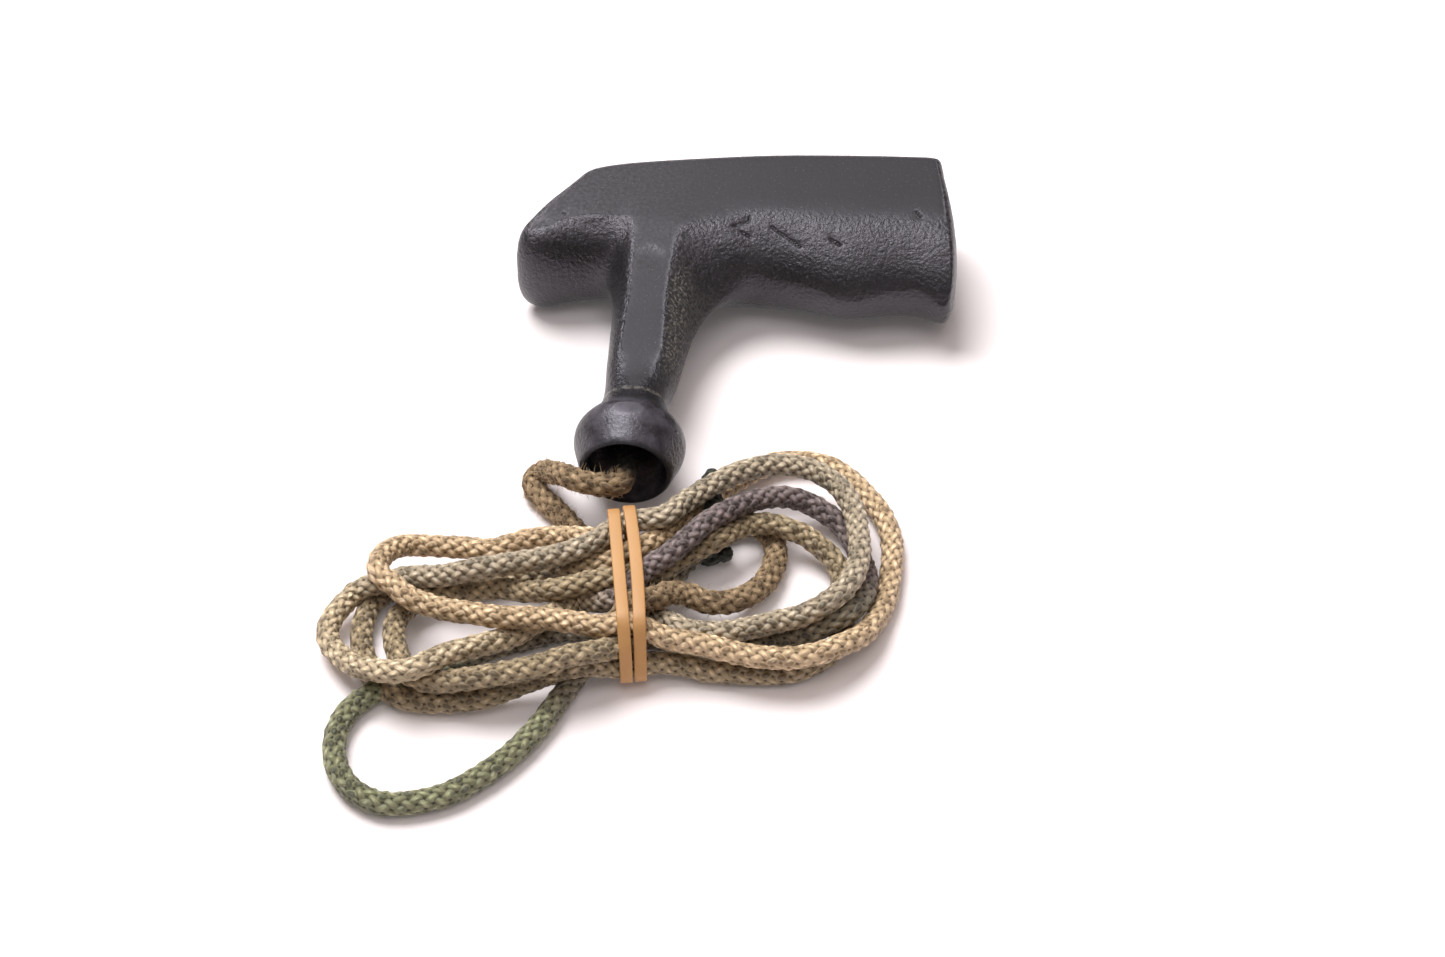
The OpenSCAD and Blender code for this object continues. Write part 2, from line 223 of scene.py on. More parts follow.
def braid_height(u, v):
    """Height of the braid's strands above its pits, 0 to 1, at u pitches along and v strands around."""
    right, left = np.cos(math.pi * (v + u)), np.cos(math.pi * (v - u))
    over = 0.8 * right * left
    return np.maximum(np.abs(right) ** 1.1 + over, np.abs(left) ** 1.1 - over) / 1.8


def braid_tube(name, line, radius, relief, twist=0):
    """A rope along a line: a grid rolled into a tube, with the braid's relief and its pattern kept on it."""
    n = len(line)
    along = np.gradient(line, axis=0)
    along /= np.linalg.norm(along, axis=1)[:, None]
    side, across = np.zeros_like(line), np.cross(along[0], (0.3, 0.1, 1))
    for i, t in enumerate(along):
        across = across - t * across.dot(t)
        across /= np.linalg.norm(across)
        side[i] = across
    up = np.cross(along, side)
    u = np.arange(n) / rings_per_pitch

    grid = bmesh.new()
    bmesh.ops.create_grid(grid, x_segments=n - 1, y_segments=around, size=0.5)
    mesh = bpy.data.meshes.new(name)
    grid.to_mesh(mesh)
    flat = np.empty(len(mesh.vertices) * 3)
    mesh.vertices.foreach_get("co", flat)
    flat = flat.reshape(-1, 3)
    ring = np.rint((flat[:, 0] + 0.5) * (n - 1)).astype(int)
    turn = np.rint((flat[:, 1] + 0.5) * around).astype(int)
    angle = turn / around * math.tau + twist * u[ring]
    v = turn / around * plaits
    r = radius[ring] - relief[ring] * (1 - braid_height(u[ring], v))
    # No two crossings stand equally high
    one_way, other_way = np.rint(v + u[ring]), np.rint(v - u[ring])
    crossing = (one_way - other_way) * 12.9898 + (one_way + other_way) % (2 * plaits) * 78.233
    crossing = np.sin(crossing) * 43758.5453
    r += relief[ring] * 0.3 * (crossing % 1 - 0.5)
    from_end = np.minimum(ring, n - 1 - ring) / rings_per_pitch
    r *= np.clip(from_end / 0.6, 0.4, 1) ** 0.5
    outward = np.cos(angle)[:, None] * side[ring] + np.sin(angle)[:, None] * up[ring]
    mesh.vertices.foreach_set("co", (line[ring] + r[:, None] * outward).ravel())

    corners = np.empty(len(mesh.loops), int)
    mesh.loops.foreach_get("vertex_index", corners)
    lay = mesh.attributes.new("lay", "FLOAT_VECTOR", "CORNER")
    lay.data.foreach_set("vector", np.stack([u[ring], v, ring], 1)[corners].ravel())
    grid.clear()
    grid.from_mesh(mesh)
    bmesh.ops.remove_doubles(grid, verts=grid.verts, dist=1e-6)
    rims = [e for e in grid.edges if e.is_boundary]
    bmesh.ops.holes_fill(grid, edges=rims)
    bmesh.ops.triangulate(grid, faces=[f for f in grid.faces if len(f.verts) > 4])
    bmesh.ops.recalc_face_normals(grid, faces=grid.faces)
    for face in grid.faces:
        face.smooth = True
    grid.to_mesh(mesh)
    grid.free()
    piece = bpy.data.objects.new(name, mesh)
    bpy.context.collection.objects.link(piece)
    return piece


class Socket:
    """One output in a material, so that shader maths reads as arithmetic."""

    def __init__(self, tree, output):
        self.tree, self.output = tree, output

    def node(self, kind, inputs, out=0, stops=(), **settings):
        """A node of a kind: its settings and ramp stops first, then its sockets' values or links."""
        made = self.tree.nodes.new("ShaderNode" + kind)
        for name, value in settings.items():
            setattr(made, name, value)
        for k, (position, colour) in enumerate(stops):
            stop = made.color_ramp.elements[k] if k < 2 else made.color_ramp.elements.new(position)
            stop.position, stop.color = position, (*colour, 1)
        for name, value in inputs.items():
            socket = made.inputs[name]
            if isinstance(value, Socket):
                self.tree.links.new(value.output, socket)
            else:
                socket.default_value = (*value, 1) if socket.type == "RGBA" and len(value) == 3 else value
        return Socket(self.tree, made.outputs[out])

    def math(self, operation, *others):
        """A Math node on this socket and any others."""
        return self.node("Math", dict(enumerate((self, *others))), operation=operation)

    def axis(self, k):
        """One of a vector's three numbers."""
        return self.node("SeparateXYZ", {"Vector": self}, out=k)

    def __add__(self, other):
        return self.math("ADD", other)

    def __sub__(self, other):
        return self.math("SUBTRACT", other)

    def __mul__(self, other):
        return self.math("MULTIPLY", other)

    def __truediv__(self, other):
        return self.math("DIVIDE", other)

    def __pow__(self, other):
        return self.math("POWER", other)

    def __rsub__(self, other):
        return self.node("Math", {0: other, 1: self}, operation="SUBTRACT")

    __radd__, __rmul__ = __add__, __mul__

    def ramp(self, low, high):
        """0 below low and 1 above high, smooth between."""
        return self.node("MapRange", {"Value": self, "From Min": low, "From Max": high},
                         interpolation_type="SMOOTHSTEP")

    def mix(self, plain, other):
        """A colour that goes from plain to other with this socket."""
        return self.node("Mix", {0: self, 6: plain, 7: other}, out=2, data_type="RGBA")

    def noise(self, scale, detail=3, roughness=0.5):
        """Noise at this vector, in cycles a metre."""
        sockets = {"Vector": self, "Scale": scale, "Detail": detail, "Roughness": roughness}
        return self.node("TexNoise", sockets)


def rgb(red, green, blue):
    """A colour from its screen values, 0 to 255."""
    return tuple(c / 12.92 if c <= 0.04045 else ((c + 0.055) / 1.055) ** 2.4
                 for c in (red / 255, green / 255, blue / 255))


def new_material(name):
    """A material, and the output that its shader maths starts from."""
    made = bpy.data.materials.new(name)
    made.use_nodes = True
    made.node_tree.nodes.clear()
    place = made.node_tree.nodes.new("ShaderNodeTexCoord")
    return made, Socket(made.node_tree, place.outputs["Object"])


def surface(place, bump=None, depth=0.001, **inputs):
    """Ends a material in its shader, whose sockets are named with underscores."""
    inputs = {name.replace("_", " "): value for name, value in inputs.items()}
    if bump is not None:
        inputs["Normal"] = place.node("Bump", {"Height": bump, "Distance": depth})
    shader = place.node("BsdfPrincipled", inputs)
    end = place.tree.nodes.new("ShaderNodeOutputMaterial")
    place.tree.links.new(shader.output, end.inputs["Surface"])


# Colour on each stretch of the rope: its own colour, the colour of the dirt between its strands, and its
# fuzz,
# 0 to 1. The stretch in the bore and mouth is painted near black, as painted shade.
stains_and_shade = {
    # Painted shade: the rope inside the bore and mouth is painted near black
    "black": (rgb(30, 26, 22), rgb(16, 14, 12), 0.8),
    "worn": (rgb(166, 141, 109), rgb(76, 60, 42), 1.0),
    "grey": (rgb(184, 168, 144), rgb(88, 82, 66), 0.15),
    "olive": (rgb(204, 184, 152), rgb(100, 86, 64), 0.15),
    "oily": (rgb(132, 118, 116), rgb(42, 34, 34), 0.3),
    "moss_dark": (rgb(134, 124, 104), rgb(42, 42, 36), 0.3),
    "moss": (rgb(134, 134, 102), rgb(48, 50, 38), 0.2),
    "brown": (rgb(168, 149, 118), rgb(76, 64, 46), 0.2),
    "tan": (rgb(212, 184, 147), rgb(120, 96, 66), 0.1),
}


def put_stain_and_shade(piece, line_stain_and_shade):
    """Puts each ring's colour, odd colour and fuzz, with any painted shade, on the rope's points."""
    mesh = piece.data
    lay = np.empty(len(mesh.loops) * 3)
    mesh.attributes["lay"].data.foreach_get("vector", lay)
    corners = np.empty(len(mesh.loops), int)
    mesh.loops.foreach_get("vertex_index", corners)
    ring = np.zeros(len(mesh.vertices), int)
    ring[corners] = np.rint(lay.reshape(-1, 3)[:, 2]).astype(int)
    for name, columns in (("stain_and_shade", slice(0, 3)), ("odd", slice(3, 6))):
        colours = np.ones((len(ring), 4))
        colours[:, :3] = line_stain_and_shade[ring, columns]
        mesh.attributes.new(name, "FLOAT_COLOR", "POINT").data.foreach_set("color", colours.ravel())
    mesh.attributes.new("fuzz", "FLOAT", "POINT").data.foreach_set("value", line_stain_and_shade[ring, 6])


braid_finish, place = new_material("rope_braid")
lay = place.node("Attribute", {}, out=1, attribute_name="lay")
u_lay, v_lay = lay.axis(0), lay.axis(1)
stain_and_shade = place.node("Attribute", {}, attribute_name="stain_and_shade")
odd = place.node("Attribute", {}, attribute_name="odd")
fuzz = place.node("Attribute", {}, out=2, attribute_name="fuzz")
a_lay, b_lay = v_lay + u_lay, v_lay - u_lay
right = (a_lay * math.pi).math("COSINE")
left = (b_lay * math.pi).math("COSINE")
over = right * left * 0.8
right_h = right.math("ABSOLUTE") ** 1.1 + over
left_h = left.math("ABSOLUTE") ** 1.1 - over
height = right_h.math("MAXIMUM", left_h) / 1.8
on_top = (right_h - left_h).ramp(-0.03, 0.03)
# Each crossing has its own shade, and one in a few is dirty all over
crossing = place.node("CombineXYZ", {0: a_lay.math("ROUND"), 1: b_lay.math("ROUND")})
shade = crossing.node("TexWhiteNoise", {"Vector": crossing}, noise_dimensions="2D")
# Fibres run along whichever strand is on top
right_fibres = place.node("CombineXYZ", {0: a_lay * 9, 1: b_lay * 1.1, 2: 3.0}).noise(1.0, 2, 0.6)
left_fibres = place.node("CombineXYZ", {0: a_lay * 1.1, 1: b_lay * 9, 2: 7.0}).noise(1.0, 2, 0.6)
fibres = on_top.node("Mix", {0: on_top, 2: left_fibres, 3: right_fibres})
patches = place.noise(110, 4, 0.6)
lint = place.noise(2600, 3, 0.7)
soiled = (shade + (patches - 0.5) * 1.2).ramp(0.55, 0.85) * 0.8
depth = height + (fibres - 0.5) * 0.5 + (lint - 0.5) * fuzz * 1.2
cloth = (depth.ramp(0.05, 0.5) * 0.8 + 0.2).mix(odd, stain_and_shade)
cloth = (soiled * height.ramp(0.35, 0.8)).mix(cloth, odd)
tint = {"out": 2, "data_type": "RGBA", "blend_type": "MULTIPLY"}
# Painted highlight: glints on the crests are painted in a near white copy of the cloth
pale = place.node("Mix", {0: 1.0, 6: cloth, 7: (2.05, 2.10, 2.20)}, **tint)
# Painted shade: the pits between the strands are multiplied darker
painted_pit_shade = place.node("Mix", {0: 1.0, 6: cloth, 7: (0.48, 0.43, 0.40)}, **tint)
cloth = depth.ramp(0.0, 0.36).mix(painted_pit_shade, cloth)
glint = (depth + (shade - 0.5) * 0.6 + (fibres - 0.5) * 0.9 - soiled * 0.5).ramp(0.62, 1.2)
cloth = glint.mix(cloth, pale)
surface(place, height + (fibres - 0.5) * 0.35 + (lint - 0.5) * fuzz * 0.9, depth=0.0007,
        Base_Color=cloth, Roughness=0.27 + fuzz * 0.55 + (1 - height) * 0.2)

line_stain_and_shade = np.array([(*stains_and_shade[f][0], *stains_and_shade[f][1], stains_and_shade[f][2]) for f in finishes])
line_stain_and_shade = np.stack([np.interp(rope_place, range(len(finishes)), line_stain_and_shade[:, k]) for k in range(7)], 1)
wear = line_stain_and_shade[:, 6]
rope_relief = 0.00045 + 0.0001 * wear
rope_radius = rope_r - 0.00003 + 0.0003 * np.maximum(wear - 0.4, 0)
rope = braid_tube("rope", rope_line, rope_radius, rope_relief, twist=0.16)
put_stain_and_shade(rope, line_stain_and_shade)
rope.data.materials.append(braid_finish)
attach(rope, "root")
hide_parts("rope_lead", "rope_hank", "rope_loop")


# Lint: the two most worn stretches of the rope, beside the nose and in the small turn, are rough with broken
# nylon fibres. Each is a thin hair with one bend, 0.8 to 2.8 mm long, rooted in the braid.
def lint_hairs(name, first, last, count, seed):
    """Thin bent hairs along a stretch of the rope line."""
    draw = np.random.default_rng(seed)
    hairs = bmesh.new()
    for _ in range(count):
        k = int(draw.uniform(first, last))
        way = Vector(rope_line[k + 1] - rope_line[k]).normalized()
        out = Vector(draw.normal(size=3))
        out = (out - way * out.dot(way)).normalized()
        lean = (out + way * draw.normal(0, 0.8) + Vector(draw.normal(0, 0.25, 3))).normalized()
        bent = (lean + Vector(draw.normal(0, 0.6, 3))).normalized()
        reach, thick = draw.uniform(0.0008, 0.0028), draw.uniform(0.00004, 0.00007)
        root = Vector(rope_line[k]) + out * (rope_r - 0.0001)
        middle, tip = root + lean * reach * 0.5, root + lean * reach * 0.5 + bent * reach * 0.5
        rings = []
        for spot, wide in ((root, 1), (middle, 0.9)):
            made = bmesh.ops.create_circle(hairs, cap_ends=False, radius=thick * wide, segments=3)["verts"]
            turn = lean.to_track_quat("Z", "Y").to_matrix()
            bmesh.ops.rotate(hairs, verts=made, cent=(0, 0, 0), matrix=turn)
            bmesh.ops.translate(hairs, verts=made, vec=spot)
            rings.append(made)
        point = hairs.verts.new(tip)
        hairs.faces.new(rings[0][::-1])
        for j in range(3):
            hairs.faces.new((rings[0][j - 1], rings[0][j], rings[1][j], rings[1][j - 1]))
            hairs.faces.new((rings[1][j - 1], rings[1][j], point))
    for vert in hairs.verts:
        vert.co.z = max(vert.co.z, hair_off_floor)
    bmesh.ops.recalc_face_normals(hairs, faces=hairs.faces)
    mesh = bpy.data.meshes.new(name)
    hairs.to_mesh(mesh)
    hairs.free()
    piece = bpy.data.objects.new(name, mesh)
    bpy.context.collection.objects.link(piece)
    piece.data.materials.append(lint_finish)
    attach(piece, "root")
    return piece


hair_off_floor = 0.00005
lint_finish, place = new_material("lint")
surface(place, Base_Color=place.noise(300, 1).mix(rgb(196, 172, 138), rgb(226, 206, 176)), Roughness=0.6)
worn_points = 13
lead_start = finishes.index("worn")
turn_end = len(finishes) - 1 - finishes[::-1].index("worn")
worn_stretches = [("lint_lead", lead_start, 420, 5), ("lint_turn", turn_end - worn_points, 260, 6)]
for name, key, count, seed in worn_stretches:
    first, last = (int(np.searchsorted(rope_place, k)) for k in (key, key + worn_points))
    lint_hairs(name, first, last, count, seed)


# Stopper knots: the rope's two ends are each tied in a tight overhand knot, one over the steel pin in the
# handle's pocket and one that drops into the slot of the starter pulley, with a tail beyond it.
def overhand(centre, size, axis):
    """Centreline of a tight overhand knot about an axis."""
    t = np.linspace(0.35, math.tau - 0.35, 150)
    loop = np.stack([np.sin(t) + 2 * np.sin(2 * t), np.cos(t) - 2 * np.cos(2 * t), -1.15 * np.sin(3 * t)], 1)
    turn = np.array(Vector((0, 0, 1)).rotation_difference(Vector(axis)).to_matrix())
    return (loop * size) @ turn.T + np.array(centre)


def knot_rope(name, keys, radius, stain_and_shade):
    """A short rope of one radius and stain through its keys."""
    line, _ = smooth_line(keys, pitch / rings_per_pitch)
    piece = braid_tube(name, line, np.full(len(line), radius), np.full(len(line), knot_relief))
    put_stain_and_shade(piece, np.tile(np.array(stain_and_shade), (len(line), 1)))
    piece.data.materials.append(braid_finish)
    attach(piece, "root")
    return piece


knot_relief = 0.0004
dark_stain = (*rgb(52, 56, 46), *rgb(40, 50, 42), 0.5)
inner_stain = (*rgb(150, 128, 90), *rgb(110, 98, 72), 0.4)
end_knot_at = np.array((0.0205, -0.095, 0.0047))
tail_turn = math.radians(6)
tail_dir = np.array((-math.sin(tail_turn), math.cos(tail_turn), 0.0))
tail_keys = [end_knot_at + tail_dir * d for d in (0.0, 0.006, 0.012, 0.018, 0.0242)]
for key, height_there in zip(tail_keys, (0.0047, 0.0056, 0.005, 0.0038, 0.0032)):
    key[2] = height_there
pin_at = np.array((0, -0.005, 0.0135))
end_knot = knot_rope("end_knot", overhand(end_knot_at, 0.0009, (0, 1, 0.15))[::10], 0.0021, dark_stain)
rope_tail = knot_rope("rope_tail", tail_keys, 0.0025, dark_stain)
inner_keys = overhand(pin_at + (0, 0.004, 0), 0.00105, (0, 1, 0))[::10]
inner_knot = knot_rope("inner_knot", inner_keys, 0.0024, inner_stain)
bore_keys = [pin_at + (0, d, 0) for d in (0, -0.02, -0.04, -0.0535)]
bore_rope = knot_rope("bore_rope", bore_keys, rope_r, inner_stain)
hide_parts("rope_end_knot")
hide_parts("grip_knot")

# Rubber band: one tan band, 3.2 mm wide when slack and 2.7 mm stretched, cut from rubber tube. It is wound
# on twice, so two strips show, each a loop stretched tight round the passes. The right one bows outwards.
band_w = 0.0027
band_gap = 0.0002
band_reach = 0.0235
across_dir = Vector((-math.sin(band_turn), math.cos(band_turn), 0))
along_dir = Vector((math.cos(band_turn), math.sin(band_turn), 0))


def band_loop(name, offset, bow):
    """A strip of the band, at an offset along the hank, with its middle bowed out."""
    local = rope_line - np.array(band_mid)
    x = local[:, :2] @ np.array(along_dir.xy)
    y = local[:, :2] @ np.array(across_dir.xy)
    inside = (np.abs(x - offset) < 0.0012) & (np.abs(y) < band_reach)
    circle = [(math.cos(a), math.sin(a)) for a in np.linspace(0, math.tau, 32, endpoint=False)]
    spots = [Vector((y[k] + rope_r * c, rope_line[k, 2] + rope_r * s))
             for k in np.flatnonzero(inside) for c, s in circle]
    hull = [spots[k] for k in geometry.convex_hull_2d(spots)]
    ring = np.array([(p.x, p.y) for p in hull + hull[:1]])
    far = np.r_[0, np.cumsum(np.linalg.norm(np.diff(ring, axis=0), axis=1))]
    even = np.linspace(0, far[-1], 180, endpoint=False)
    ring = np.stack([np.interp(even, far, ring[:, k]) for k in range(2)], 1)
    for _ in range(6):
        ring = ring * 0.5 + (np.roll(ring, 1, 0) + np.roll(ring, -1, 0)) * 0.25
    mesh = bmesh.new()
    edge_at = band_mid + along_dir * (offset - band_w / 2)
    verts = [mesh.verts.new(edge_at + across_dir * p[0] + Vector((0, 0, p[1]))) for p in ring]
    edges = [mesh.edges.new((verts[k - 1], verts[k])) for k in range(len(verts))]
    made = bmesh.ops.extrude_edge_only(mesh, edges=edges)["geom"]
    far_edge = [v for v in made if isinstance(v, bmesh.types.BMVert)]
    bmesh.ops.translate(mesh, vec=along_dir * band_w, verts=far_edge)
    bmesh.ops.recalc_face_normals(mesh, faces=mesh.faces)
    for face in mesh.faces:
        face.smooth = True
    data = bpy.data.meshes.new(name)
    mesh.to_mesh(data)
    mesh.free()
    for vert in data.vertices:
        reach = (Vector(vert.co) - band_mid).dot(across_dir) / band_reach
        vert.co += along_dir * (bow * (1 - min(reach * reach, 1)))
    piece = bpy.data.objects.new(name, data)
    bpy.context.collection.objects.link(piece)
    solid = piece.modifiers.new("thickness", "SOLIDIFY")
    solid.thickness = band_t
    solid.offset = 1
    bevel = piece.modifiers.new("edges", "BEVEL")
    bevel.width, bevel.segments, bevel.limit_method = 0.0003, 3, "ANGLE"
    return piece


band_finish, place = new_material("band_rubber")
grain = place.noise(1500, 3)
tan = place.noise(60, 2).mix(rgb(183, 134, 82), rgb(198, 150, 95))
surface(place, grain, depth=0.00005, Base_Color=tan, Roughness=0.5)
bands = [band_loop("band_left", -(band_w + band_gap) / 2, 0.0),
         band_loop("band_right", (band_w + band_gap) / 2, 0.0009)]
for piece in bands:
    piece.data.materials.append(band_finish)
    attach(piece, "root")
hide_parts("rubber_band")

# Handle: one solid moulding of black plastic with a grained skin. The part's skin is remeshed evenly, and
# then worn and softened as the real one is: a rolled front shoulder, a full head, gouges, a nibbled end and a
# wide mouth.
skin_step = 0.00049
grip = bpy.data.objects.new("handle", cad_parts["grip"].data.copy())
bpy.context.collection.objects.link(grip)
skin = bmesh.new()
skin.from_mesh(grip.data)
bmesh.ops.remove_doubles(skin, verts=skin.verts, dist=1e-6)
skin.to_mesh(grip.data)
skin.free()
remesh = grip.modifiers.new("skin", "REMESH")
remesh.mode, remesh.voxel_size, remesh.use_smooth_shade = "VOXEL", skin_step, True
smooth = grip.modifiers.new("smooth", "SMOOTH")
smooth.factor, smooth.iterations = 0.5, 4
grip.data = bpy.data.meshes.new_from_object(grip.evaluated_get(bpy.context.evaluated_depsgraph_get()))
grip.modifiers.clear()
count = len(grip.data.vertices)
spots, facing = np.empty(count * 3), np.empty(count * 3)
grip.data.vertices.foreach_get("co", spots)
grip.data.vertex_normals.foreach_get("vector", facing)
spots, facing = spots.reshape(-1, 3), facing.reshape(-1, 3)


def ease(value, low, high):
    """0 below low and 1 above high, smooth between."""
    value = np.clip((value - low) / (high - low), 0, 1)
    return value * value * (3 - 2 * value)


# The front shoulder rolls down from a crease along the bar, which bends at the stem and runs down the head
half_height = 0.0135
bend = np.array((-0.0099, -0.0072))
right_end = np.array((0.0659, -0.0016))
left_end = np.array((-0.026, -0.0234))


def in_front(start, end):
    """Distance of each point in front of a line in plan."""
    way = (end - start) / np.linalg.norm(end - start)
    return (spots[:, 0] - start[0]) * way[1] - (spots[:, 1] - start[1]) * way[0]


def roll_down(start, end, side, shape):
    """Lowers the top beyond a crease to an ellipse that ends at the outline of half height."""
    way = (end - start) / np.linalg.norm(end - start)
    front, along = in_front(start, end), (spots[:, :2] - start) @ way
    belt = side & (np.abs(spots[:, 2] - half_height) < 0.0012) & (front > 0)
    bins = np.arange(along[belt].min(), along[belt].max(), 0.002)
    reach = np.array([front[belt & (np.abs(along - at) < 0.0015)].max(initial=0.004) for at in bins])
    reach = np.convolve(np.pad(reach, 2, mode="edge"), np.full(5, 0.2), "valid")
    share = np.clip(front / np.interp(along, bins, reach), 0, 0.995)
    crown = half_height * (1 + (1 - share ** shape) ** (1 / shape))
    lower = side & (spots[:, 2] > half_height) & (front > 0)
    fade = ease(np.abs(spots[:, 0]), 0.0055, 0.013) * ease(spots[:, 1], -0.045, -0.034)
    spots[:, 2] -= lower * fade * np.maximum(spots[:, 2] - crown, 0)


roll_down(bend, right_end, spots[:, 0] > 0, 1.75)
roll_down(left_end, bend, spots[:, 0] < 0, 1.7)
# The back of the head is fuller than a straight line
bulge_at = np.array((-0.0252, -0.0115))
near_bulge = np.exp(-((spots[:, :2] - bulge_at) ** 2).sum(1) / 0.0085 ** 2)
outward = np.clip(facing @ np.array((-0.7, 0.7, 0.1)), 0, 1)
spots += (0.0012 * near_bulge * outward)[:, None] * np.array((-0.7, 0.7, 0))
# Gouges in the shoulder, as lines in plan with a depth
gouges = [
    (((0.0215, -0.0101), (0.0211, -0.0115), (0.0177, -0.0130)), 0.0005),
    (((0.0197, -0.0140), (0.0221, -0.0149)), 0.0006),
    (((0.0268, -0.0122), (0.0292, -0.0135), (0.0336, -0.0161)), 0.0005),
    (((0.0405, -0.0142), (0.0429, -0.0154)), 0.0007),
    (((0.0598, -0.0055), (0.0611, -0.0071)), 0.0003),
    (((-0.0218, -0.0133), (-0.0212, -0.0138)), 0.0004),
]
scar = np.zeros(count)
for line, depth in gouges:
    for start, end in zip(line, line[1:]):
        start, end = np.array(start), np.array(end)
        away = spots[:, :2] - start
        t = np.clip(away @ (end - start) / ((end - start) ** 2).sum(), 0, 1)
        away = np.linalg.norm(away - t[:, None] * (end - start), axis=1)
        mark = np.exp(-(away / 0.00042) ** 2) * (spots[:, 2] > half_height)
        spots[:, 2] -= 0.6 * depth * mark * (scar < 0.5)
        scar = np.maximum(scar, mark)
# The right end has a rough, nibbled edge
rough = ease(spots[:, 0], 0.0645, 0.067) * ease(spots[:, 2], 0.006, 0.012)
for k in np.flatnonzero(rough > 0.01):
    lump = noise.noise(Vector(spots[k]) * 900)
    spots[k] += facing[k] * (0.00022 * rough[k] * lump)
# The mouth is wide, with a thin rim
out_of_axis = spots[:, [0, 2]] - (0, half_height)
from_axis = np.linalg.norm(out_of_axis, axis=1)
wider = 0.0009 * ease(-spots[:, 1], 0.0735, 0.081) * ease(from_axis, 0.0045, 0.0072)
wider *= 1 - ease(from_axis, 0.0080, 0.0100)
spots[:, [0, 2]] += out_of_axis * (wider / np.maximum(from_axis, 1e-4))[:, None]
# The stem's ridge runs smoothly into the nose, and the creases are rounded
ends = np.empty(len(grip.data.edges) * 2, int)
grip.data.edges.foreach_get("vertices", ends)
ends = ends.reshape(-1, 2)


def smooth_where(weight, rounds):
    """Evens out the skin, by each vertex's weight."""
    near = weight > 0.01
    pairs = ends[near[ends].any(1)]
    links = np.maximum(np.bincount(pairs.ravel(), minlength=count), 1)[:, None]
    weight = (weight * near)[:, None]
    for _ in range(rounds):
        total = np.stack([np.bincount(pairs[:, 0], spots[pairs[:, 1], k], count)
                          + np.bincount(pairs[:, 1], spots[pairs[:, 0], k], count) for k in range(3)], 1)
        spots[:] += 0.6 * weight * (total / links - spots)


smooth_where(np.exp(-((spots[:, 1] + 0.0615) / 0.0075) ** 4), 130)
smooth_where((spots[:, 2] > 0.012) * (spots[:, 1] > -0.04) * (1 - scar), 10)
grip.data.vertices.foreach_set("co", spots.ravel())
grip.data.attributes.new("scar", "FLOAT", "POINT").data.foreach_set("value", scar)
grip.data.update()

plastic, place = new_material("grip_plastic")
x, y, z = place.axis(0), place.axis(1), place.axis(2)
facing_way = Socket(place.tree, place.output.node.outputs["Normal"])
right_of, upward_of = facing_way.axis(0), facing_way.axis(2)
flat = upward_of.ramp(0.955, 0.995)
cloud = place.noise(60, 4)
skin_grain = place.noise(1150, 3, 0.6)
wide_grain = place.noise(420, 3, 0.6)
scar_mark = place.node("Attribute", {}, out=2, attribute_name="scar")
speck = place.noise(2300, 1, 0.5).ramp(0.70, 0.76)
# Dust sits on the stem's right flank and in a line where the neck meets the nose
flank = right_of.ramp(0.35, 0.75) * y.ramp(-0.066, -0.052) * (1 - y.ramp(-0.034, -0.022))
neck_line = 1 - ((y + 0.0632).math("ABSOLUTE") / 0.0009).ramp(0.2, 1.0)
neck_line = neck_line * z.ramp(0.012, 0.018) * place.noise(900, 2).ramp(0.35, 0.6)
edge_dust = ((x - 0.0072).math("ABSOLUTE") / 0.004).ramp(0.0, 1.0)
edge_dust = (1 - edge_dust) * y.ramp(-0.058, -0.05) * (1 - y.ramp(-0.03, -0.02))
edge_dust = edge_dust * place.noise(1400, 2).ramp(0.5, 0.68)
# The nose's top, where it faces up, has less grain, and is painted paler as a painted highlight
polish_and_sheen = (y * -1.0).ramp(0.066, 0.072) * upward_of.ramp(0.3, 0.8)
# Painted sheen: the top of the head and the shoulder in front of the flat, which face up, are painted paler
# in the grain
head_top = (1 - x.ramp(-0.035, 0.030)) * upward_of.ramp(0.45, 0.75)
shoulder = upward_of.ramp(0.66, 0.86) * (1 - upward_of.ramp(0.93, 0.985))
painted_sheen = (head_top * 0.55 + shoulder * 0.45) * y.ramp(-0.032, -0.026)
# Painted shade: the front face round the mouth is painted near black
front = (y * -1.0 + (place.noise(500, 2) - 0.5) * 0.0010).ramp(0.0812, 0.0824)
body = cloud.mix(rgb(19, 18, 20), rgb(29, 28, 31))
body = (flat * 0.8).mix(body, rgb(31, 31, 31))
body = (painted_sheen * skin_grain.ramp(0.3, 0.7)).mix(body, rgb(80, 77, 82))
body = (flank * place.noise(1500, 3, 0.7).ramp(0.38, 0.66) * 0.5).mix(body, rgb(104, 101, 92))
body = (polish_and_sheen * place.noise(260, 4, 0.6).ramp(0.3, 0.7) * 0.6).mix(body, rgb(92, 88, 98))
body = (neck_line * 0.35 + edge_dust * 0.5 + speck * 0.25).mix(body, rgb(150, 146, 136))
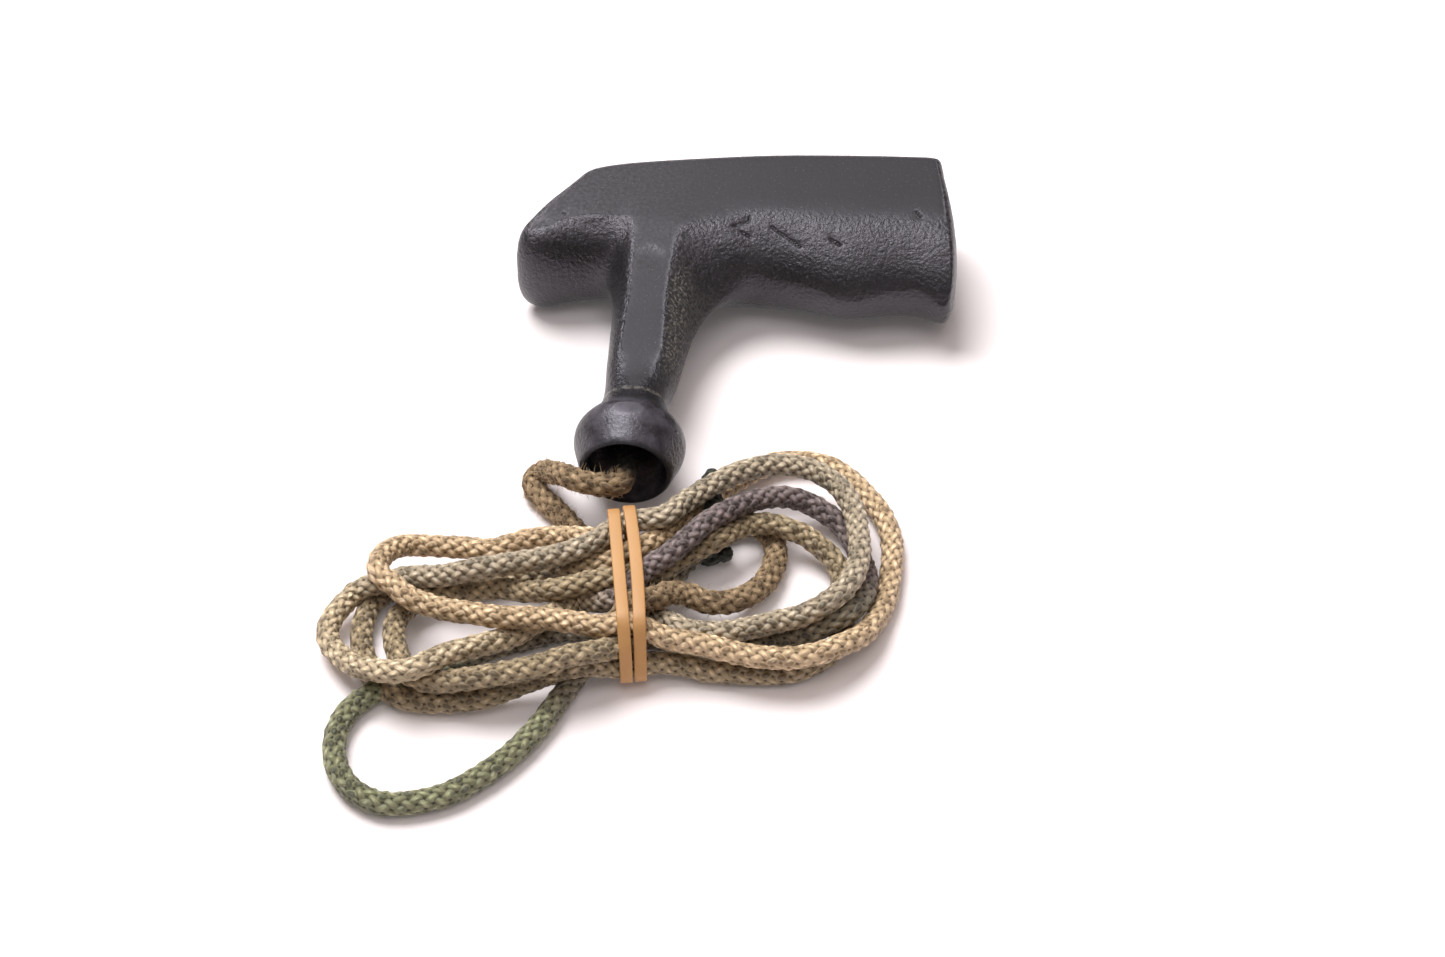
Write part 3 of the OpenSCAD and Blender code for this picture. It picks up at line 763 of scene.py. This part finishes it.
# The gouges are painted paler along their rims and darker inside, the dark as painted shade
rim = scar_mark.ramp(0.02, 0.15) * (1 - scar_mark.ramp(0.2, 0.5))
body = (rim * 0.25).mix(body, rgb(120, 116, 128))
body = scar_mark.ramp(0.4, 0.9).mix(body, rgb(12, 11, 12))
body = front.mix(body, rgb(5, 4, 5))
grain = (skin_grain * 0.9 + wide_grain * 0.35) * (1 - flat * 0.8) * (1 - polish_and_sheen * 0.65) - scar_mark * 0.8
gloss_loss = cloud * 0.1 + flat * 0.3 + flank * 0.3 + front * 0.5
surface(place, grain, depth=0.00042, Base_Color=body, Specular_Tint=(0.93, 0.89, 1.0, 1.0),
        Specular_IOR_Level=0.62, Roughness=0.33 + gloss_loss)
grip.data.materials.clear()
grip.data.materials.append(plastic)
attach(grip, "root")
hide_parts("grip")

# Pin: a short round bar of plain steel that lies across the pocket, with the rope knotted over it. The
# part's own pin stays and gets its finish.
steel, place = new_material("pin_steel")
surface(place, place.noise(3000, 2), depth=0.00005, Base_Color=rgb(150, 150, 152), Metallic=1.0,
        Roughness=0.35)
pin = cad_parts["grip_pin"]
pin.data.materials.clear()
pin.data.materials.append(steel)

# Floor: a plain pale ground, as white in the picture as the photograph's, that keeps the part's shadow. The
# world is white to the camera and warm, brighter from above, to the part.
bpy.ops.mesh.primitive_plane_add(size=3)
floor = bpy.context.object
floor.name = "floor"
floor_finish, place = new_material("floor")
seen = place.node("LightPath", {}, out=0)
shine = place.node("LightPath", {}, out=3)
base = place.node("BsdfDiffuse", {"Color": (0.93, 0.87, 0.88, 1)})
glow = place.node("Emission", {"Color": (1, 0.99, 1, 1), "Strength": 0.05 * seen + 0.25 * shine})
end = place.tree.nodes.new("ShaderNodeOutputMaterial")
both = place.node("AddShader", {0: base, 1: glow})
place.tree.links.new(both.output, end.inputs["Surface"])
floor.data.materials.append(floor_finish)

world = bpy.data.worlds.new("world")
bpy.context.scene.world = world
world.use_nodes = True
world.node_tree.nodes.clear()
upward = world.node_tree.nodes.new("ShaderNodeTexCoord")
upward = Socket(world.node_tree, upward.outputs["Generated"])
sky_strength = 0.10 + 0.30 * upward.axis(2).ramp(0.1, 0.95)
sky = upward.node("Background", {"Color": (1.0, 0.87, 0.82), "Strength": sky_strength})
white = upward.node("Background", {"Color": (1.0, 1.0, 1.0), "Strength": 1.0})
seen = upward.node("LightPath", {}, out=0)
sky = upward.node("MixShader", {0: seen, 1: sky, 2: white})
end = world.node_tree.nodes.new("ShaderNodeOutputWorld")
world.node_tree.links.new(sky.output, end.inputs["Surface"])


# Lamps: a large soft one from behind on the left, and a small share of light from the front
def soft_light(name, place_at, aim, size, power):
    """A round lamp that faces its aim."""
    data = bpy.data.lights.new(name, "AREA")
    data.shape, data.size, data.energy = "DISK", size, power
    lamp = bpy.data.objects.new(name, data)
    lamp.location = place_at
    lamp.rotation_mode = "QUATERNION"
    lamp.rotation_quaternion = (Vector(place_at) - Vector(aim)).to_track_quat("Z", "Y")
    bpy.context.collection.objects.link(lamp)


part_middle = (0, -0.06, 0)
soft_light("key", (-0.34, 0.30, 1.0), part_middle, 0.8, 17)
soft_light("front", (0.10, -0.40, 1.1), part_middle, 0.6, 2)
